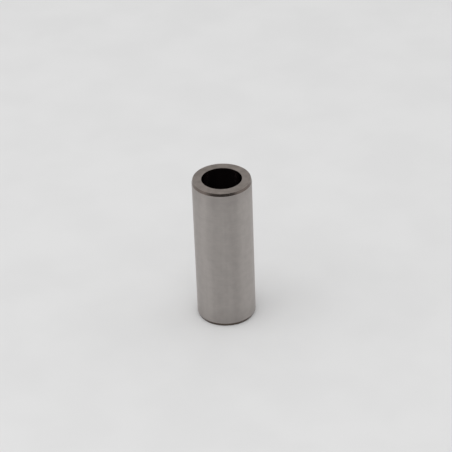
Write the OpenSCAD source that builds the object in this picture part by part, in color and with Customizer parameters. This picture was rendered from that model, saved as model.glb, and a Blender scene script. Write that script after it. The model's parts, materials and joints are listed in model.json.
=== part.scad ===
// Gudgeon pin: a hollow steel pin that joins a piston to the small end of its connecting rod.
// It is one turned, hardened and ground piece, and it stands on one of its ends.
// The origin is the centre of the lower end face, and +Z runs up along the axis.

/* [Pin] */
// Diameter of the ground outside wall
pin_d = 22; // [20:0.5:40]
// Length from end face to end face
pin_l = 58; // [20:0.5:120]

/* [Bore] */
// Diameter of the bore that runs right through
bore_d = 14; // [4:0.5:16]
// Size of the 45 degree chamfer at each mouth of the bore
mouth_chamfer = 0.4; // [0.1:0.05:0.5]

/* [Ends] */
// Length along the axis of the lead-in taper at each end
lead_l = 1.1; // [0.4:0.05:1.5]
// Angle of the lead-in taper from the axis
lead_angle = 17; // [8:1:25]
// Radius of the rounded corner between the end face and the lead-in taper
corner_r = 0.1; // [0.05:0.05:0.4]

/* [Hidden] */
$fn = 96;
pin_r = pin_d / 2;
bore_r = bore_d / 2;
// Radius at which the bore's chamfer opens into the end face
mouth_r = bore_r + mouth_chamfer;
// Radius at which the taper would meet the end face if the corner were sharp
face_r = pin_r - lead_l * tan(lead_angle);
// Half of the angle that the corner's arc turns through
corner_half = (90 - lead_angle) / 2;
corner_centre = [face_r - corner_r * tan(corner_half), corner_r];
// The cut for the corner reaches this far from the arc's centre, so that it ends outside the sharp corner
cut_reach = 2 * corner_r;
// The arc is larger by this, so that it crosses the face and the taper cleanly where it meets them
arc_slack = 0.0002;

// Half of the pin's lengthwise section, with sharp corners
module sharp_section() {
    polygon([
        [mouth_r, 0],
        [face_r, 0],
        [pin_r, lead_l],
        [pin_r, pin_l - lead_l],
        [face_r, pin_l],
        [mouth_r, pin_l],
        [bore_r, pin_l - mouth_chamfer],
        [bore_r, mouth_chamfer]
    ]);
}

// What the rounding takes off the sharp corner at the lower end
module corner_waste() {
    translate(corner_centre) difference() {
        polygon(cut_reach * [
            [0, 0],
            [0, -1],
            [tan(corner_half), -1],
            [cos(lead_angle), -sin(lead_angle)]
        ]);
        circle(r = corner_r + arc_slack);
    }
}

// The finished half section
module wall_section() {
    difference() {
        sharp_section();
        corner_waste();
        translate([0, pin_l]) mirror([0, 1]) corner_waste();
    }
}

// The pin: its half section turned about the axis
module gudgeon_pin() {
    color([0.55, 0.53, 0.52]) rotate_extrude() wall_section();
}

gudgeon_pin();
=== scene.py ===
"""Dresses a gudgeon pin in ground steel and stands it on a pale studio floor, as its photo shows it."""

import json
import math

import bmesh
import bpy
from bpy.props import FloatProperty, FloatVectorProperty, PointerProperty
from mathutils import Matrix, Vector


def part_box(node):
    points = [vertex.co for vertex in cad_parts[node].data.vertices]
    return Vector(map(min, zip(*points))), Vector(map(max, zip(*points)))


bl_info = {
    "name": "Gudgeon Pin",
    "version": (1, 0, 0),
    "blender": (4, 5, 0),
    "location": "3D View > Sidebar > Gudgeon Pin",
    "description": "Finishes a gudgeon pin in ground steel and sets up its studio",
    "category": "Object",
}

# A millimetre in metres, in which the frame and the scene are
MM = 0.001

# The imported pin, and the sizes that its record states
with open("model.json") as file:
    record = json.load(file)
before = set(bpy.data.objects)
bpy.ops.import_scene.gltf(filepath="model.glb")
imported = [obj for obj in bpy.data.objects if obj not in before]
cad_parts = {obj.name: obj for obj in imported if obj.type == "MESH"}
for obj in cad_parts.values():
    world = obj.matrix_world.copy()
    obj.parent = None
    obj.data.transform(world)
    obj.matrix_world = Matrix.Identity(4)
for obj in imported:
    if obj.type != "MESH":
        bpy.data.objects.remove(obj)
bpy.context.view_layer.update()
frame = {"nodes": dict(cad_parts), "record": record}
NODE = "gudgeon_pin"
pin_low, pin_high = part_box(NODE)
mounts = {mount["name"]: mount["dims"] for mount in frame["record"]["mounts"]}
PIN_LENGTH = pin_high.z - pin_low.z
LEAD_LENGTH = (PIN_LENGTH - mounts["running_surface"]["length_mm"] * MM) / 2
MOUTH_CHAMFER = (PIN_LENGTH - mounts["bore"]["length_mm"] * MM) / 2
MOUTH_RADIUS = mounts["bore"]["r_mm"] * MM + MOUTH_CHAMFER

# How far one finish runs into the next: an end face's over its corner, a taper's up the wall,
# and the bore's out onto the end face
FACE_BLUR = 0.15 * MM
LEAD_BLUR = 0.05 * MM
BORE_BLUR = 0.1 * MM

# The lines that tools leave: their length, the levels of finer noise in them, and how strong those are
LINE_LENGTH = 18 * MM
LINE_DETAIL = 3
LINE_RAGGEDNESS = 0.6

# The scale in the bore and the oil film: the size of their grains, patches and streaks;
# and how far from each end the wall's painted shade reaches
SCALE_GRAIN = 0.6 * MM
FILM_PATCH = 2.5 * MM
STREAK_WIDTH = 1.5 * MM
STREAK_LENGTH = 50 * MM
END_SHADE_REACH = 9 * MM

# Levels of finer noise in the grains and the patches
PATCH_DETAIL = 4

# Noise keeps mostly within these limits, which are spread evenly to either side of 0
NOISE_LOW = 0.3
NOISE_HIGH = 0.7

# How much the marks vary the steel's roughness, as a share of it
ROUGHNESS_SWING = 0.1

# A corner is told by the lesser of the face's share and the rest, which is at most a half
CORNER_PEAK = 0.5

# A quarter of a turn, as the shader counts turns
QUARTER_TURN = 0.25

# The floor: the size of a patch in its mottle, how much that lightens and darkens, and how matt it is
FLOOR_PATCH = 30 * MM
FLOOR_MOTTLE = 0.015
FLOOR_ROUGHNESS = 0.9

# How softly the upright edges of the gap in the room's light fade, as the sine of the angle from the edge
LEFT_FADE = 0.32
RIGHT_FADE = 0.25

# Places and sides of the soft boxes
LEFT_BOX = (-0.8, -0.2, 0.9)
LEFT_BOX_SIDES = (1.1, 0.8)
FRONT_BOX = (0.0, -0.45, 1.0)
FRONT_BOX_SIDES = (0.6, 0.6)
RIGHT_BOX = (0.9, 0.08, 0.3)
RIGHT_BOX_SIDES = (1.1, 0.55)

# The camera sees nothing nearer than this
CAMERA_NEAR = 10 * MM

BLACK = (0, 0, 0)
WHITE = (1, 1, 1)


class SteelFinish(bpy.types.PropertyGroup):
    """Colours and marks of the pin's surfaces"""

    wall_colour: FloatVectorProperty(
        name="Ground wall",
        description="Colour of the ground outside wall",
        subtype="COLOR",
        min=0,
        max=1,
        default=(0.426, 0.396, 0.377),
    )
    end_shade_colour: FloatVectorProperty(
        name="Ends of the wall",
        # Colour of the wall close to its ends, darker there as painted shade
        description="Colour of the wall close to its ends, where the oil film is thicker",
        subtype="COLOR",
        min=0,
        max=1,
        default=(0.388, 0.359, 0.342),
    )
    face_colour: FloatVectorProperty(
        name="End faces",
        description="Colour of the turned end faces",
        subtype="COLOR",
        min=0,
        max=1,
        default=(0.240, 0.211, 0.192),
    )
    lead_colour: FloatVectorProperty(
        name="Lead-in tapers",
        description="Colour of the tapers at the ends, which the grinding wheel doesn't reach",
        subtype="COLOR",
        min=0,
        max=1,
        default=(0.190, 0.159, 0.142),
    )
    foot_shade_colour: FloatVectorProperty(
        name="Foot",
        # Colour of the lower taper, darker than the upper one as painted shade where the pin stands on the
        # floor
        description="Colour of the lower taper, where the oil that has run down the pin gathers",
        subtype="COLOR",
        min=0,
        max=1,
        default=(0.128, 0.103, 0.088),
    )
    bore_colour: FloatVectorProperty(
        name="Bore",
        # Colour of the dark heat-treatment scale in the bore, made darker still as painted shade in the
        # deep hole
        description="Colour of the dark heat-treatment scale in the bore",
        subtype="COLOR",
        min=0,
        max=1,
        default=(0.007, 0.005, 0.005),
    )
    wall_roughness: FloatProperty(
        name="Wall roughness",
        description="Roughness of the ground wall",
        subtype="FACTOR",
        min=0,
        max=1,
        default=0.38,
    )
    face_roughness: FloatProperty(
        name="Face roughness",
        description="Roughness of the end faces",
        subtype="FACTOR",
        min=0,
        max=1,
        default=0.38,
    )
    lead_roughness: FloatProperty(
        name="Taper roughness",
        description="Roughness of the lead-in tapers",
        subtype="FACTOR",
        min=0,
        max=1,
        default=0.12,
    )
    bore_roughness: FloatProperty(
        name="Bore roughness",
        description="Roughness of the scale in the bore",
        subtype="FACTOR",
        min=0,
        max=1,
        default=0.6,
    )
    lay: FloatProperty(
        name="Lay",
        description="How strongly the marks round the axis draw reflections out across themselves",
        subtype="FACTOR",
        min=0,
        max=1,
        default=0.97,
    )
    line_width: FloatProperty(
        name="Line width",
        description="Width of the fine lines that the grinding wheel leaves on the wall",
        unit="LENGTH",
        subtype="DISTANCE",
        min=0.02 * MM,
        max=2 * MM,
        default=0.06 * MM,
    )
    ring_width: FloatProperty(
        name="Ring width",
        description="Width of the rings that the turning tool leaves on the end faces",
        unit="LENGTH",
        subtype="DISTANCE",
        min=0.02 * MM,
        max=2 * MM,
        default=0.18 * MM,
    )
    line_depth: FloatProperty(
        name="Line depth",
        description="Depth of the lines and rings",
        unit="LENGTH",
        subtype="DISTANCE",
        min=0,
        max=0.2 * MM,
        default=0.0005 * MM,
    )
    line_shade: FloatProperty(
        name="Line shade",
        description="How much the lines and rings lighten and darken the steel",
        subtype="FACTOR",
        min=0,
        max=0.5,
        default=0.05,
    )
    wall_mottle: FloatProperty(
        name="Wall mottle",
        description="How much the oil film lightens and darkens the wall in patches",
        subtype="FACTOR",
        min=0,
        max=0.5,
        default=0.035,
    )
    face_mottle: FloatProperty(
        name="Face mottle",
        description="How much the oil film lightens and darkens the end faces in patches",
        subtype="FACTOR",
        min=0,
        max=0.5,
        default=0.12,
    )
    streak_shade: FloatProperty(
        name="Streak shade",
        description="How much the oil film lightens and darkens the steel in streaks along the pin",
        subtype="FACTOR",
        min=0,
        max=0.5,
        default=0.02,
    )
    edge_wear_and_highlight: FloatProperty(
        name="Edge wear",
        # How much brighter the steel is at the corners of the ends: partly wear from handling, partly a
        # painted highlight
        description="How much brighter the steel is where handling has polished the corners of the ends",
        subtype="FACTOR",
        min=0,
        max=1,
        default=0.2,
    )


class Studio(bpy.types.PropertyGroup):
    """Floor, light and camera"""

    floor_colour: FloatVectorProperty(
        name="Floor",
        description="Colour of the pale floor",
        subtype="COLOR",
        min=0,
        max=1,
        default=(0.735, 0.735, 0.735),
    )
    floor_size: FloatProperty(
        name="Floor size",
        description="Length of the floor's sides",
        unit="LENGTH",
        subtype="DISTANCE",
        min=0.5,
        default=8.0,
    )
    room_strength: FloatProperty(
        name="Room light",
        description="Strength of the even light from the room",
        min=0,
        default=0.85,
    )
    gap_left: FloatProperty(
        name="Gap, left edge",
        description="Bearing, from the camera's side, of the left edge of the dark gap in the room's light",
        unit="ROTATION",
        subtype="ANGLE",
        default=math.radians(-56),
    )
    gap_right: FloatProperty(
        name="Gap, right edge",
        description="Bearing, from the camera's side, of the right edge of the dark gap",
        unit="ROTATION",
        subtype="ANGLE",
        default=math.radians(53),
    )
    gap_dark: FloatProperty(
        name="Gap, dark up to",
        description="Height above the horizon up to which the gap is dark",
        unit="ROTATION",
        subtype="ANGLE",
        default=math.radians(10),
    )
    gap_lit: FloatProperty(
        name="Gap, lit from",
        description="Height above the horizon from which the room is lit again",
        unit="ROTATION",
        subtype="ANGLE",
        default=math.radians(28),
    )
    left_power: FloatProperty(
        name="Left soft box",
        description="Power of the soft box at the left",
        unit="POWER",
        min=0,
        default=2.1,
    )
    front_power: FloatProperty(
        name="Front soft box",
        description="Power of the soft box above the camera",
        unit="POWER",
        min=0,
        default=1.2,
    )
    right_power: FloatProperty(
        name="Right soft box",
        description="Power of the low soft box at the right",
        unit="POWER",
        min=0,
        default=0.5,
    )
    camera_place: FloatVectorProperty(
        name="Camera place",
        description="Where the camera stands, from the middle of the pin's lower face",
        unit="LENGTH",
        subtype="TRANSLATION",
        default=(0.0, -0.6244, 0.4350),
    )
    camera_lens: FloatProperty(
        name="Lens",
        description="Focal length of the camera",
        unit="CAMERA",
        min=20,
        max=400,
        default=159.7,
    )
    camera_dip: FloatProperty(
        name="Dip",
        description="How far the camera looks down from the horizon",
        unit="ROTATION",
        subtype="ANGLE",
        default=math.radians(32.4833),
    )
    camera_pan: FloatProperty(
        name="Pan",
        description="How far the camera turns to the right of straight ahead",
        unit="ROTATION",
        subtype="ANGLE",
        default=math.radians(0.0859),
    )
    camera_roll: FloatProperty(
        name="Roll",
        description="How far the camera leans to the left",
        unit="ROTATION",
        subtype="ANGLE",
        default=math.radians(-2.2002),
    )


def add_node(tree, kind, inputs=(), **settings):
    """Adds a shader node with its options set, and feeds each named input with a value or an output."""
    node = tree.nodes.new(kind)
    for name, value in settings.items():
        setattr(node, name, value)
    for name, value in dict(inputs).items():
        if isinstance(value, bpy.types.NodeSocket):
            tree.links.new(value, node.inputs[name])
        else:
            node.inputs[name].default_value = value
    return node


def calculate(tree, operation, *values):
    """The result of a Math node."""
    inputs = dict(enumerate(values))
    return add_node(tree, "ShaderNodeMath", inputs, operation=operation).outputs["Value"]


def calculate_vector(tree, operation, *values, output="Vector"):
    """The result of a Vector Math node."""
    inputs = dict(enumerate(values))
    return add_node(tree, "ShaderNodeVectorMath", inputs, operation=operation).outputs[output]


def scale(tree, vector, factor):
    """The vector multiplied by one factor."""
    inputs = {0: vector, "Scale": factor}
    return add_node(tree, "ShaderNodeVectorMath", inputs, operation="SCALE").outputs["Vector"]


def ramp(tree, value, start, end, at_start=0.0, at_end=1.0):
    """A smooth change from at_start to at_end as value goes from start to end."""
    inputs = {"Value": value, "From Min": start, "From Max": end, "To Min": at_start, "To Max": at_end}
    return add_node(tree, "ShaderNodeMapRange", inputs, interpolation_type="SMOOTHSTEP").outputs["Result"]


def swing(tree, pattern, reach):
    """A noise pattern spread evenly from -reach to reach."""
    return ramp(tree, pattern, NOISE_LOW, NOISE_HIGH, -reach, reach)


def mix_colour(tree, factor, first, second):
    """The first colour where factor is 0 and the second where it is 1."""
    node = add_node(tree, "ShaderNodeMix", {"Factor": factor}, data_type="RGBA")
    sockets = {socket.identifier: socket for socket in node.inputs}
    for identifier, value in (("A_Color", first), ("B_Color", second)):
        if isinstance(value, bpy.types.NodeSocket):
            tree.links.new(value, sockets[identifier])
        else:
            sockets[identifier].default_value = (*value, 1)
    return next(socket for socket in node.outputs if socket.identifier == "Result_Color")


def mix_number(tree, factor, first, second):
    """The first number where factor is 0 and the second where it is 1."""
    inputs = {"Factor": factor, "A": first, "B": second}
    return add_node(tree, "ShaderNodeMix", inputs, data_type="FLOAT").outputs["Result"]


def noise(tree, vector, detail=2.0, roughness=0.5):
    """Noise from 0 to 1 whose grains are about one unit of the vector wide."""
    inputs = {"Vector": vector, "Scale": 1.0, "Detail": detail, "Roughness": roughness}
    return add_node(tree, "ShaderNodeTexNoise", inputs).outputs["Fac"]


def tool_lines(tree, place, across, width):
    """Noise drawn out into fine lines round the axis, each a width further on in the number across."""
    around = calculate_vector(tree, "MULTIPLY", place, (1 / LINE_LENGTH, 1 / LINE_LENGTH, 0))
    count = calculate(tree, "DIVIDE", across, width)
    step = add_node(tree, "ShaderNodeCombineXYZ", {"Z": count}).outputs["Vector"]
    return noise(tree, calculate_vector(tree, "ADD", around, step), LINE_DETAIL, LINE_RAGGEDNESS)


def pin_steel(finish):
    """Steel that is ground on the wall, turned on the ends and dark with scale in the bore."""
    material = bpy.data.materials.new("pin_steel")
    material.use_nodes = True
    tree = material.node_tree
    shader = tree.nodes["Principled BSDF"]

    # Where a point lies: its height, and its distance from the axis and from the nearer end
    place = add_node(tree, "ShaderNodeTexCoord").outputs["Object"]
    height = add_node(tree, "ShaderNodeSeparateXYZ", {"Vector": place}).outputs["Z"]
    from_axis = calculate_vector(tree, "MULTIPLY", place, (1, 1, 0))
    radius = calculate_vector(tree, "LENGTH", from_axis, output="Value")
    from_middle = calculate(tree, "ABSOLUTE", calculate(tree, "SUBTRACT", height, PIN_LENGTH / 2))
    from_end = calculate(tree, "SUBTRACT", PIN_LENGTH / 2, from_middle)

    # Which surface it is on
    # Painted shade: the wall darkens towards each end
    near_end_shade = ramp(tree, from_end, LEAD_LENGTH, END_SHADE_REACH, 1, 0)
    on_lead = ramp(tree, from_end, LEAD_LENGTH, LEAD_LENGTH + LEAD_BLUR, 1, 0)
    in_lower_half = calculate(tree, "LESS_THAN", height, PIN_LENGTH / 2)
    on_face = ramp(tree, from_end, 0, FACE_BLUR, 1, 0)
    on_corner = calculate(tree, "MINIMUM", on_face, calculate(tree, "SUBTRACT", 1, on_face))
    in_bore = ramp(tree, radius, MOUTH_RADIUS, MOUTH_RADIUS + BORE_BLUR, 1, 0)

    # Marks: lines along the tool's path, grains of scale in the bore, and an oil film over all
    wall_lines = tool_lines(tree, place, height, finish.line_width)
    face_rings = tool_lines(tree, place, radius, finish.ring_width)
    grains = noise(tree, scale(tree, place, 1 / SCALE_GRAIN), PATCH_DETAIL)
    marks = mix_number(tree, in_bore, mix_number(tree, on_face, wall_lines, face_rings), grains)
    patches = noise(tree, scale(tree, place, 1 / FILM_PATCH), PATCH_DETAIL)
    along = (1 / STREAK_WIDTH, 1 / STREAK_WIDTH, 1 / STREAK_LENGTH)
    streaks = noise(tree, calculate_vector(tree, "MULTIPLY", place, along))

    # Colour of each surface
    # The lower taper takes the darker foot colour: painted shade where the pin stands on the floor
    lead_colour = mix_colour(tree, in_lower_half, finish.lead_colour, finish.foot_shade_colour)
    # The wall darkens near its ends: painted shade
    colour = mix_colour(tree, near_end_shade, finish.wall_colour, finish.end_shade_colour)
    colour = mix_colour(tree, on_lead, colour, lead_colour)
    colour = mix_colour(tree, on_face, colour, finish.face_colour)
    colour = mix_colour(tree, in_bore, colour, finish.bore_colour)

    # What lightens and darkens it. The bore doesn't shine at a low angle: painted shade
    line_shade = swing(tree, marks, finish.line_shade)
    shade = calculate(tree, "ADD", swing(tree, streaks, finish.streak_shade), line_shade)
    mottle = mix_number(tree, on_face, finish.wall_mottle, finish.face_mottle)
    shade = calculate(tree, "MULTIPLY_ADD", swing(tree, patches, 1), mottle, shade)
    # Brighter corners at the ends: partly wear from handling, partly a painted highlight
    shade = calculate(tree, "MULTIPLY_ADD", on_corner, finish.edge_wear_and_highlight / CORNER_PEAK, shade)
    colour = scale(tree, colour, calculate(tree, "ADD", shade, 1))
    tree.links.new(colour, shader.inputs["Base Color"])
    # A black specular tint in the bore keeps its walls from mirroring anything at a low angle: painted
    # shade
    tree.links.new(mix_colour(tree, in_bore, WHITE, BLACK), shader.inputs["Specular Tint"])

    # Roughness
    rough = mix_number(tree, on_lead, finish.wall_roughness, finish.lead_roughness)
    rough = mix_number(tree, on_face, rough, finish.face_roughness)
    rough = mix_number(tree, in_bore, rough, finish.bore_roughness)
    unevenness = calculate(tree, "ADD", swing(tree, marks, ROUGHNESS_SWING), 1)
    tree.links.new(calculate(tree, "MULTIPLY", rough, unevenness), shader.inputs["Roughness"])

    # Relief
    relief = {"Strength": 1.0, "Distance": finish.line_depth, "Height": marks}
    bump = add_node(tree, "ShaderNodeBump", relief)
    tree.links.new(bump.outputs["Normal"], shader.inputs["Normal"])

    # The lay of the marks, which a quarter turn sets across the direction round the axis
    tangent = add_node(tree, "ShaderNodeTangent", direction_type="RADIAL", axis="Z")
    tree.links.new(tangent.outputs["Tangent"], shader.inputs["Tangent"])
    shader.inputs["Metallic"].default_value = 1.0
    shader.inputs["Anisotropic"].default_value = finish.lay
    shader.inputs["Anisotropic Rotation"].default_value = QUARTER_TURN
    return material


class GUDGEON_OT_finish_pin(bpy.types.Operator):
    """Give the pin its steel: ground on the wall, turned on the ends and dark in the bore"""

    bl_idname = "gudgeon.finish_pin"
    bl_label = "Finish the Pin"

    def execute(self, context):
        pin = frame["nodes"][NODE]
        pin.material_slots[0].material = pin_steel(context.scene.gudgeon_finish)
        return {"FINISHED"}


def pale_board(colour):
    """Matt pale board with a faint mottle."""
    material = bpy.data.materials.new("pale_board")
    material.use_nodes = True
    tree = material.node_tree
    shader = tree.nodes["Principled BSDF"]
    place = add_node(tree, "ShaderNodeTexCoord").outputs["Object"]
    mottle = noise(tree, scale(tree, place, 1 / FLOOR_PATCH))
    shade = calculate(tree, "ADD", swing(tree, mottle, FLOOR_MOTTLE), 1)
    tree.links.new(scale(tree, tuple(colour), shade), shader.inputs["Base Color"])
    shader.inputs["Roughness"].default_value = FLOOR_ROUGHNESS
    shader.inputs["Specular IOR Level"].default_value = 0.0
    return material


def add_floor(studio):
    """The floor that the pin stands on."""
    mesh = bpy.data.meshes.new("floor")
    shape = bmesh.new()
    bmesh.ops.create_grid(shape, x_segments=1, y_segments=1, size=studio.floor_size / 2)
    bmesh.ops.translate(shape, verts=shape.verts, vec=(0, 0, pin_low.z))
    shape.to_mesh(mesh)
    shape.free()
    mesh.materials.append(pale_board(studio.floor_colour))
    floor = bpy.data.objects.new("floor", mesh)
    bpy.context.scene.collection.objects.link(floor)


def past_edge(tree, axes, bearing, fade):
    """0 in the gap on the camera's side and 1 past its upright edge at a bearing, negative to the left."""
    across = calculate(tree, "MULTIPLY", axes["X"], math.copysign(math.cos(bearing), bearing))
    across = calculate(tree, "MULTIPLY_ADD", axes["Y"], abs(math.sin(bearing)), across)
    return ramp(tree, across, -fade, fade)


def add_room_light(studio):
    """Even light from all round, but for a dark gap low down on the camera's side."""
    world = bpy.data.worlds.new("studio_room")
    world.use_nodes = True
    tree = world.node_tree
    background = tree.nodes["Background"]
    direction = add_node(tree, "ShaderNodeTexCoord").outputs["Generated"]
    axes = add_node(tree, "ShaderNodeSeparateXYZ", {"Vector": direction}).outputs
    left = past_edge(tree, axes, studio.gap_left, LEFT_FADE)
    right = past_edge(tree, axes, studio.gap_right, RIGHT_FADE)
    above = ramp(tree, axes["Z"], math.sin(studio.gap_dark), math.sin(studio.gap_lit))
    lit = calculate(tree, "MAXIMUM", above, calculate(tree, "MAXIMUM", left, right))
    strength = calculate(tree, "MULTIPLY", lit, studio.room_strength)
    tree.links.new(strength, background.inputs["Strength"])
    background.inputs["Color"].default_value = (*WHITE, 1)
    bpy.context.scene.world = world


def add_softbox(name, place, sides, power):
    """A soft lamp at place, as wide and high as sides say, that points at the middle of the pin."""
    lamp = bpy.data.lights.new(name, "AREA")
    lamp.shape = "RECTANGLE"
    lamp.size, lamp.size_y = sides
    lamp.energy = power
    box = bpy.data.objects.new(name, lamp)
    box.location = place
    aim = (pin_low + pin_high) / 2 - Vector(place)
    box.rotation_euler = aim.to_track_quat("-Z", "Y").to_euler()
    box.visible_camera = False
    bpy.context.scene.collection.objects.link(box)


def add_camera(studio):
    """The camera, at the photo's viewing angle."""
    data = bpy.data.cameras.new("camera")
    data.lens = studio.camera_lens
    data.clip_start = CAMERA_NEAR
    camera = bpy.data.objects.new("camera", data)
    turn = Matrix.Rotation(-studio.camera_pan, 4, "Z")
    tip = Matrix.Rotation(math.pi / 2 - studio.camera_dip, 4, "X")
    lean = Matrix.Rotation(studio.camera_roll, 4, "Z")
    camera.matrix_world = Matrix.Translation(studio.camera_place) @ turn @ tip @ lean
    bpy.context.scene.collection.objects.link(camera)
    bpy.context.scene.camera = camera


class GUDGEON_OT_build_stage(bpy.types.Operator):
    """Lay the floor, hang the lamps and place the camera"""

    bl_idname = "gudgeon.build_stage"
    bl_label = "Build the Stage"

    def execute(self, context):
        studio = context.scene.gudgeon_studio
        add_camera(studio)
        add_floor(studio)
        add_room_light(studio)
        add_softbox("left_softbox", LEFT_BOX, LEFT_BOX_SIDES, studio.left_power)
        add_softbox("front_softbox", FRONT_BOX, FRONT_BOX_SIDES, studio.front_power)
        add_softbox("right_softbox", RIGHT_BOX, RIGHT_BOX_SIDES, studio.right_power)
        context.scene.view_settings.view_transform = "Standard"
        return {"FINISHED"}


class GUDGEON_PT_panel(bpy.types.Panel):
    """The pin's finish and its studio"""

    bl_label = "Gudgeon Pin"
    bl_idname = "GUDGEON_PT_panel"
    bl_space_type = "VIEW_3D"
    bl_region_type = "UI"
    bl_category = "Gudgeon Pin"

    def draw(self, context):
        scene = context.scene
        steps = (
            (scene.gudgeon_finish, GUDGEON_OT_finish_pin),
            (scene.gudgeon_studio, GUDGEON_OT_build_stage),
        )
        for group, operator in steps:
            box = self.layout.box()
            for name in group.__annotations__:
                box.prop(group, name)
            box.operator(operator.bl_idname)


CLASSES = (SteelFinish, Studio, GUDGEON_OT_finish_pin, GUDGEON_OT_build_stage, GUDGEON_PT_panel)


def register():
    """Makes the settings, the operators and their panel known to Blender."""
    for blender_class in CLASSES:
        bpy.utils.register_class(blender_class)
    bpy.types.Scene.gudgeon_finish = PointerProperty(type=SteelFinish)
    bpy.types.Scene.gudgeon_studio = PointerProperty(type=Studio)


def unregister():
    """Takes the settings, the operators and their panel out again."""
    del bpy.types.Scene.gudgeon_studio
    del bpy.types.Scene.gudgeon_finish
    for blender_class in reversed(CLASSES):
        bpy.utils.unregister_class(blender_class)


def main():
    """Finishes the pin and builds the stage."""
    register()
    bpy.ops.gudgeon.finish_pin()
    bpy.ops.gudgeon.build_stage()


if __name__ == "__main__":
    main()
